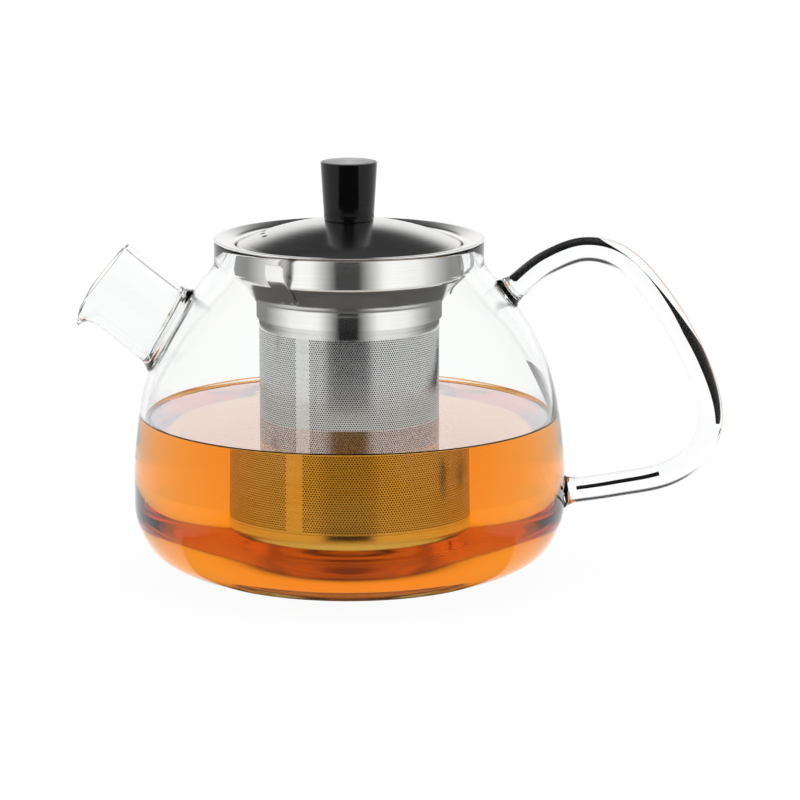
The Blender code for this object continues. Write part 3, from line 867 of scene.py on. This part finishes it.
def tea_film(surface):
    """Flat skin lying on the tea."""
    low = TEA_LEVEL + FILM_LIFT
    top = low + FILM_THICK
    outside = float(np.interp(TEA_LEVEL, OUTER_Z, OUTER_R)) - WALL - FILM_EDGE
    piece = turned("tea_film", [(0.0, low), (outside, low), (outside, top), (0.0, top)], surface,
                   closed=False, sharp=50.0)
    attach(piece, "pot")


# ---- infuser -------------------------------------------------------------
def collar(surface):
    """Lip, wall, cone and necklet with soft bends."""
    seat = LIP_TOP - LIP_DROP
    bends = ((LIP_RADIUS, LIP_TOP - 0.45 * MM, 0.3 * MM),
             (LIP_RADIUS - 0.9 * MM, LIP_TOP - 0.25 * MM, 0.6 * MM),
             (COLLAR_RADIUS - SHEET / 2.0, seat - 0.1 * MM, 2.0 * MM),
             (COLLAR_RADIUS - SHEET / 2.0, CONE_TOP, 1.2 * MM),
             (NECKLET_RADIUS - SHEET / 2.0, CONE_BOTTOM, 1.0 * MM),
             (NECKLET_RADIUS - SHEET / 2.0, NECKLET_BOTTOM, 0.0))
    path = [Vector(bends[0][:2])]
    for before, here, after in zip(bends, bends[1:], bends[2:]):
        corner = Vector(here[:2])
        back = (Vector(before[:2]) - corner).normalized() * here[2]
        on = (Vector(after[:2]) - corner).normalized() * here[2]
        for i in range(7):
            t = i / 6.0
            path.append(corner + back * (1.0 - t) ** 2 + on * t * t)
    path.append(Vector(bends[-1][:2]))
    outer = offset_path(path, SHEET / 2.0)
    inner = offset_path(path, -SHEET / 2.0)
    edge = path[0]
    curl = arc((edge.x - 0.02 * MM, edge.y), SHEET * 0.55, 90.0, -90.0, 8)
    piece = turned("infuser_collar_steel", curl + [tuple(p) for p in inner[1:]]
                   + [tuple(p) for p in reversed(outer[1:])], surface)
    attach(piece, "infuser")
    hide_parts("infuser_collar")


def panel_grid():
    """Columns round the filter and rows up it."""
    columns = round(math.tau * FILTER_RADIUS / HOLE_PITCH)
    rows = round((HOLES_HIGH - HOLES_LOW) / ROW_PITCH)
    return columns, rows


class PanelMesh:
    """Points, their UVs and the faces of one panel of the filter sheet."""

    def __init__(self, step):
        self.step = step
        self.verts = []
        self.uvs = []
        self.index = {}
        self.faces = []

    def new(self, angle, height):
        """Index of a new point of the sheet."""
        self.verts.append((FILTER_RADIUS * math.cos(angle), FILTER_RADIUS * math.sin(angle),
                           height))
        self.uvs.append((angle / math.tau, height / FILTER_HIGH.z))
        return len(self.verts) - 1

    def shared(self, angle, height):
        """Index of a point that neighbouring cells share, made once."""
        key = (round(angle / self.step * 24.0), round(height * 1e7))
        if key not in self.index:
            self.index[key] = self.new(angle, height)
        return self.index[key]


def hole_cell(panel, rim, middle, height):
    """Faces between a cell's rim and its hole."""
    hole = []
    for corner in HOLE_CORNERS:
        turn = math.radians(corner)
        hole.append(panel.new(middle + HOLE_RADIUS * math.cos(turn) / FILTER_RADIUS,
                              height + HOLE_RADIUS * math.sin(turn)))
    for i in range(6):
        j = (i + 1) % 6
        panel.faces.append((rim[i], rim[j], hole[j], hole[i]))


def holed_rows(panel, first, last, rows):
    """The lattice of cells, with a plain strip at the seam."""
    seam = math.radians(SEAM_ANGLE)
    half_seam = SEAM_WIDTH / FILTER_RADIUS / 2.0
    step = panel.step
    for row in range(rows):
        low = HOLES_LOW + row * ROW_PITCH
        high = low + ROW_PITCH
        shift = 0.5 if row % 2 else 0.0
        for column in range(first, last):
            middle = seam + (column + shift + 0.5) * step
            left, right = middle - step / 2.0, middle + step / 2.0
            rim = [panel.shared(left, low), panel.shared(middle, low), panel.shared(right, low),
                   panel.shared(right, high), panel.shared(middle, high),
                   panel.shared(left, high)]
            away = min((middle - seam) % math.tau, (seam - middle) % math.tau)
            if away < half_seam:
                panel.faces.append((rim[0], rim[1], rim[4], rim[5]))
                panel.faces.append((rim[1], rim[2], rim[3], rim[4]))
            else:
                hole_cell(panel, rim, middle, (low + high) / 2.0)


def plain_bands(panel, first, last, rows):
    """The plain strips under and over the lattice."""
    seam = math.radians(SEAM_ANGLE)
    bands = ((CUP_HIGH.z + CUP_SEAM, HOLES_LOW), (HOLES_LOW + rows * ROW_PITCH, FILTER_HIGH.z))
    for low, high in bands:
        for half in range(2 * first, 2 * last):
            left = seam + half * panel.step / 2.0
            right = left + panel.step / 2.0
            panel.faces.append((panel.shared(left, low), panel.shared(right, low),
                                panel.shared(right, high), panel.shared(left, high)))


def filter_panel(number, surface, inside):
    """One upright panel of the perforated sheet."""
    columns, rows = panel_grid()
    first = columns * number // PANELS
    last = columns * (number + 1) // PANELS
    panel = PanelMesh(math.tau / columns)
    holed_rows(panel, first, last, rows)
    plain_bands(panel, first, last, rows)
    mesh = bpy.data.meshes.new("filter_panel_%d" % (number + 1))
    mesh.from_pydata(panel.verts, [], panel.faces)
    layer = mesh.uv_layers.new(name="OFBake")
    corners = np.zeros(len(mesh.loops), np.int32)
    mesh.loops.foreach_get("vertex_index", corners)
    layer.data.foreach_set("uv", np.array(panel.uvs, np.float32)[corners].ravel())
    piece = new_piece(mesh.name, mesh, surface)
    # The sheet's inner face gets the second, near-black material: painted shade inside the filter
    mesh.materials.append(inside)
    sheet = piece.modifiers.new("sheet", "SOLIDIFY")
    sheet.thickness = FILTER_SHEET
    sheet.offset = -1.0
    sheet.material_offset = 1
    apply_modifiers(piece)
    piece.data.shade_smooth()
    piece.data.set_sharp_from_angle(angle=math.radians(SHARP))
    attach(piece, "infuser")
    return piece


def filter_sheet(surface, inside):
    """The whole perforated wall."""
    for number in range(PANELS):
        panel = filter_panel(number, surface, inside)
        if number == 0:
            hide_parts("filter_wall")


def filter_shade_skin(surface, inside):
    """Plain skin behind the holes, so that they show painted shade: its first material inside, its
    second, near-black, outside.
    """
    front = FILTER_RADIUS - FILTER_SHEET - SHADE_SKIN_GAP
    rear = front - SHADE_SKIN_SHEET
    low = CUP_HIGH.z + CUP_SEAM
    piece = turned("filter_shade_skin", [(rear, low), (front, low), (front, FILTER_HIGH.z),
                                      (rear, FILTER_HIGH.z)], surface)
    piece.data.materials.append(inside)
    # Faces that look out through the holes get the near-black material: painted shade
    for face in piece.data.polygons:
        middle = face.center
        if face.normal.x * middle.x + face.normal.y * middle.y > 0.0:
            face.material_index = 1
    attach(piece, "infuser")


def filter_cup(surface):
    """Pressed cup under the filter with a shallow ring in its floor."""
    outside = FILTER_RADIUS
    bottom = CUP_LOW.z
    centre = (outside - CUP_CORNER, bottom + CUP_CORNER)
    outer = arc(centre, CUP_CORNER, 0.0, -90.0, 10)
    inner = arc(centre, CUP_CORNER - CUP_SHEET, -90.0, 0.0, 10)
    below = [(r, bottom + rise) for r, rise in CUP_RING]
    above = [(r, bottom + rise + CUP_SHEET) for r, rise in reversed(CUP_RING)]
    lip = arc((outside - CUP_SHEET / 2.0, CUP_HIGH.z - CUP_SHEET / 2.0), CUP_SHEET / 2.0,
              180.0, 0.0, 6)
    piece = turned("filter_cup", above + inner + lip + outer + below, surface, closed=False)
    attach(piece, "infuser")
    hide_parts("filter_base")


def clip_path():
    """Centre line of a leaf spring, radius and height."""
    foot = Vector(CLIP_FOOT)
    knee = Vector(CLIP_KNEE)
    slope = (knee - foot).normalized()
    back = slope * CLIP_KNEE_RADIUS
    on = Vector((0.0, CLIP_KNEE_RADIUS))
    path = [foot + slope * 0.9 * MM * i for i in range(8)]
    for i in range(9):
        t = i / 8.0
        path.append(knee - back * (1.0 - t) ** 2 + on * t * t)
    path.append(Vector((knee.x, CLIP_TOP - 1.0 * MM)))
    path.append(Vector((knee.x, CLIP_TOP)))
    return path


def leaf_mesh(name, path):
    """Flat strip along the path, a little narrower at its ends."""
    mesh = bpy.data.meshes.new(name)
    work = bmesh.new()
    rows = []
    for i, p in enumerate(path):
        half = CLIP_WIDTH / 2.0 * (CLIP_END if i in (0, len(path) - 1) else 1.0)
        rows.append([work.verts.new((p.x, side * half, p.y))
                     for side in (-1.0, -0.5, 0.0, 0.5, 1.0)])
    for low, high in zip(rows, rows[1:]):
        for k in range(4):
            work.faces.new((low[k], low[k + 1], high[k + 1], high[k]))
    work.to_mesh(mesh)
    work.free()
    return mesh


def clip_welds(name, path, degrees, surface):
    """Two spot welds on the foot of a leaf."""
    slope = (path[5] - path[0]).normalized()
    normal = Vector((slope.y, -slope.x))
    at = path[1] + normal * CLIP_SHEET * WELD_SINK
    turn = math.radians(degrees)
    for letter, side in (("a", -WELD_APART / 2.0), ("b", WELD_APART / 2.0)):
        dot = spot_weld("%s_weld_%s" % (name, letter), surface)
        dot.location = (at.x * math.cos(turn) - side * math.sin(turn),
                        at.x * math.sin(turn) + side * math.cos(turn), at.y)
        dot.rotation_euler = (0.0, math.atan2(normal.x, normal.y), turn)
        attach(dot, name + "_leaf")


def spring_clip(name, degrees, surface):
    """Leaf spring with softened edges and two spot welds on its foot."""
    path = clip_path()
    mesh = leaf_mesh(name + "_steel", path)
    piece = new_piece(mesh.name, mesh, surface)
    mesh.shade_smooth()
    sheet = piece.modifiers.new("sheet", "SOLIDIFY")
    sheet.thickness = CLIP_SHEET
    sheet.offset = 0.0
    soft = piece.modifiers.new("soft", "BEVEL")
    soft.width = CLIP_SOFT
    soft.segments = 2
    soft.limit_method = "ANGLE"
    piece.rotation_euler = (0.0, 0.0, math.radians(degrees))
    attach(piece, name + "_leaf")
    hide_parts(name)
    clip_welds(name, path, degrees, surface)


def spot_weld(name, surface):
    """Small dished nugget."""
    return turned(name, WELD_PROFILE, surface, segments=24, closed=False, sharp=70.0)


# ---- lid -----------------------------------------------------------------
def lid_height(radius):
    """Height of the lid's upper side at a radius, on a curve close to its dome."""
    edge = LID_RADIUS - LID_EDGE_ROLL
    return LID_EDGE + (edge * edge - radius * radius) / (2.0 * LID_DOME_RADIUS)


def lid_profile():
    """Dome, rolled edge, skirt and underside as one closed line."""
    edge = LID_RADIUS - LID_EDGE_ROLL
    steps = 40
    dome = []
    for i in range(steps + 1):
        r = LID_HOLE + (edge - LID_HOLE) * i / steps
        dome.append((r, lid_height(r)))
    start = 90.0 - math.degrees(math.asin(edge / LID_DOME_RADIUS))
    centre = (edge, LID_EDGE - LID_EDGE_ROLL)
    roll = arc(centre, LID_EDGE_ROLL, start, 0.0, 8)
    roll_in = arc(centre, LID_EDGE_ROLL - LID_SHEET, 0.0, start, 8)
    skirt = arc((LID_RADIUS - LID_SHEET / 2.0, LID_LOW.z + LID_SHEET / 2.0), LID_SHEET / 2.0,
                0.0, -180.0, 6)
    under = [(r, z - LID_SHEET) for r, z in reversed(dome)]
    return dome + roll + skirt + roll_in + under


def lid(surface):
    """Domed lid with a rolled edge, a skirt and three vents."""
    shell = turned("lid_steel", lid_profile(), surface)
    for k in (-1, 0, 1):
        angle = math.radians(VENT_ANGLE) + k * VENT_SPACING / VENT_OUT
        pin = turned("vent", [(0.0, VENT_REACH), (VENT_RADIUS, VENT_REACH),
                              (VENT_RADIUS, -VENT_REACH), (0.0, -VENT_REACH)],
                     None, segments=32, closed=False)
        pin.location = (VENT_OUT * math.cos(angle), VENT_OUT * math.sin(angle), VENT_HEIGHT)
        combine(shell, pin, "DIFFERENCE")
    resurface(shell, surface, SHARP)
    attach(shell, "lid")
    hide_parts("lid_shell")


def knob(surface):
    """Tapered black knob with softened edges and a seat for its cap."""
    bottom = lid_height(KNOB_RADIUS_LOW) + KNOB_SEAT
    hollow = lid_height(SCREW_RADIUS) + KNOB_SEAT
    top = KNOB_HIGH.z
    bore = SCREW_RADIUS + CLEARANCE
    seat = CAP_RADIUS + CAP_GAP
    floor = top - CAP_THICK - CLEARANCE
    rim = arc((KNOB_RADIUS_HIGH - KNOB_SOFT, top - KNOB_SOFT), KNOB_SOFT, 90.0, 0.0, 6)
    foot = arc((KNOB_RADIUS_LOW - KNOB_SOFT, bottom + KNOB_SOFT), KNOB_SOFT, 0.0, -90.0, 6)
    profile = ([(0.0, floor), (seat, floor), (seat, top - SEAT_CHAMFER),
                (seat + SEAT_CHAMFER, top)] + rim + foot
               + [(bore, hollow), (bore, KNOB_LOW.z + SCREW_REACH),
                  (0.0, KNOB_LOW.z + SCREW_REACH)])
    piece = turned("knob_black", profile, surface, segments=128, closed=False, sharp=40.0)
    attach(piece, "lid")
    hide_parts("knob")


def cap(surface):
    """Turned disc in the top of the knob."""
    top = CAP_HIGH.z
    edge = arc((CAP_RADIUS - CAP_BEVEL, top - CAP_BEVEL), CAP_BEVEL, 90.0, 0.0, 5)
    profile = ([(0.0, top), (CAP_RADIUS * 0.5, top)] + edge
               + [(CAP_RADIUS, CAP_LOW.z), (0.0, CAP_LOW.z)])
    piece = turned("knob_cap_disc", profile, surface, segments=128, closed=False)
    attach(piece, "lid")
    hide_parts("knob_cap")


# ---- studio --------------------------------------------------------------
def surround():
    """Dark room with white panels at the sides and overhead and a low white wall behind."""
    world = bpy.data.worlds.new("studio")
    bpy.context.scene.world = world
    world.use_nodes = True
    tree = world.node_tree
    back = tree.nodes["Background"]
    split = add(tree, "ShaderNodeSeparateXYZ")
    tree.links.new(add(tree, "ShaderNodeTexCoord").outputs["Generated"], split.inputs[0])
    x, y, z = split.outputs
    sides = smooth_step(tree, maths(tree, "ABSOLUTE", x), *SIDE_PANELS)
    low = maths(tree, "SUBTRACT", 1.0, smooth_step(tree, z, *BACK_PANEL_TOP))
    behind = maths(tree, "MULTIPLY", smooth_step(tree, y, *BACK_PANEL_EDGE), low)
    above = smooth_step(tree, z, *TOP_PANEL)
    light = maths(tree, "MAXIMUM", maths(tree, "MAXIMUM", sides, behind),
                  maths(tree, "MAXIMUM", above, ROOM_GREY))
    tree.links.new(light, back.inputs["Color"])
    back.inputs["Strength"].default_value = PANEL_STRENGTH


def hide_card(card, reflected, refracted):
    """Leave a card to reflections or refractions alone."""
    card.visible_camera = False
    card.visible_diffuse = False
    card.visible_shadow = False
    card.visible_glossy = reflected
    card.visible_transmission = refracted


def quad(name, corners, height, surface):
    """Level four-cornered card."""
    mesh = bpy.data.meshes.new(name)
    mesh.from_pydata([(x, y, height) for x, y in corners], [], [(0, 1, 2, 3)])
    return new_piece(name, mesh, surface)


def flag(name, corners, height, reflected, refracted, grey=FLAG_GREY):
    """Grey card that the camera never sees directly."""
    hide_card(quad(name, corners, height, flag_material(name, grey)), reflected, refracted)


def wedge(number, near, far, grey):
    """One stretch of the dark middle of the table in front of the pot."""
    name = "wedge_%d" % (number + 1)
    spread = WEDGE_SLOPES[1]
    corners = ((far * spread, far), (-far * spread, far), (-near * spread, near),
               (near * spread, near))
    hide_card(quad(name, corners, 0.0, wedge_material(name, grey)), False, True)


def round_card(name, inner, outer, surface):
    """Ring or sleeve inside the pot, given by two points of radius and height."""
    verts = []
    faces = []
    for k in range(ROUND_STEPS):
        angle = math.tau * k / ROUND_STEPS
        for radius, height in (inner, outer):
            verts.append((radius * math.cos(angle), radius * math.sin(angle), height))
        here = 2 * k
        there = 2 * ((k + 1) % ROUND_STEPS)
        faces.append((here, here + 1, there + 1, there))
    mesh = bpy.data.meshes.new(name)
    mesh.from_pydata(verts, [], faces)
    hide_card(new_piece(name, mesh, surface), True, False)


def cards():
    """The hidden cards on the table and inside the pot."""
    for number, (near, far, grey) in enumerate(WEDGES):
        wedge(number, near, far, grey)
    flag("apron", APRON, 0.0, True, False, ROOM_GREY)
    flag("handle_flag", HANDLE_FLAG, HANDLE_FLAG_HEIGHT, False, True)
    flag("rod_flag", ROD_FLAG, 0.0, False, True)
    for number, (inside, low, outside, high, grey) in enumerate(RINGS):
        name = "ring_%d" % (number + 1)
        round_card(name, (inside, low), (outside, high), flag_material(name, grey))
    for number, (radius, low, high, grey) in enumerate(SLEEVES):
        name = "sleeve_%d" % (number + 1)
        round_card(name, (radius, low), (radius, high), sleeve_material(name, radius, grey))


def studio():
    """White light table in the surround."""
    half = FLOOR_HALF
    corners = ((-half, -half), (half, -half), (half, half), (-half, half))
    floor = quad("floor", corners, 0.0, floor_material())
    floor.location.z = -FLOOR_DROP
    cards()
    surround()
    bpy.context.scene.view_settings.view_transform = "Standard"
    bpy.context.scene.view_settings.look = "None"
    bpy.context.scene.cycles.max_bounces = PATH_LENGTH
    bpy.context.scene.cycles.transmission_bounces = PATH_LENGTH


# ---- assembly ------------------------------------------------------------
make_camera()
studio()
glass = glass_material()
lid_steel = brushed_steel("lid_brushed")
collar_steel = brushed_steel("collar_brushed")
filter_steel = brushed_steel("filter_sheet")
# Near-black steel for the inside of the filter: painted shade
filter_painted_shade = brushed_steel("filter_painted_shade")
cap_steel = brushed_steel("cap_brushed")
pot_glass(glass)
tea(tea_material())
tea_film(film_material())
collar(collar_steel)
filter_sheet(filter_steel, filter_painted_shade)
filter_shade_skin(filter_steel, filter_painted_shade)
filter_cup(filter_steel)
for clip_name, clip_angle in CLIP_ANGLES.items():
    spring_clip(clip_name, clip_angle, collar_steel)
lid(lid_steel)
knob(plastic_material())
cap(cap_steel)
for node, look in (("knob_washer", rubber_material()), ("knob_screw", collar_steel)):
    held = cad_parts[node]
    held.data.materials.clear()
    held.data.materials.append(look)
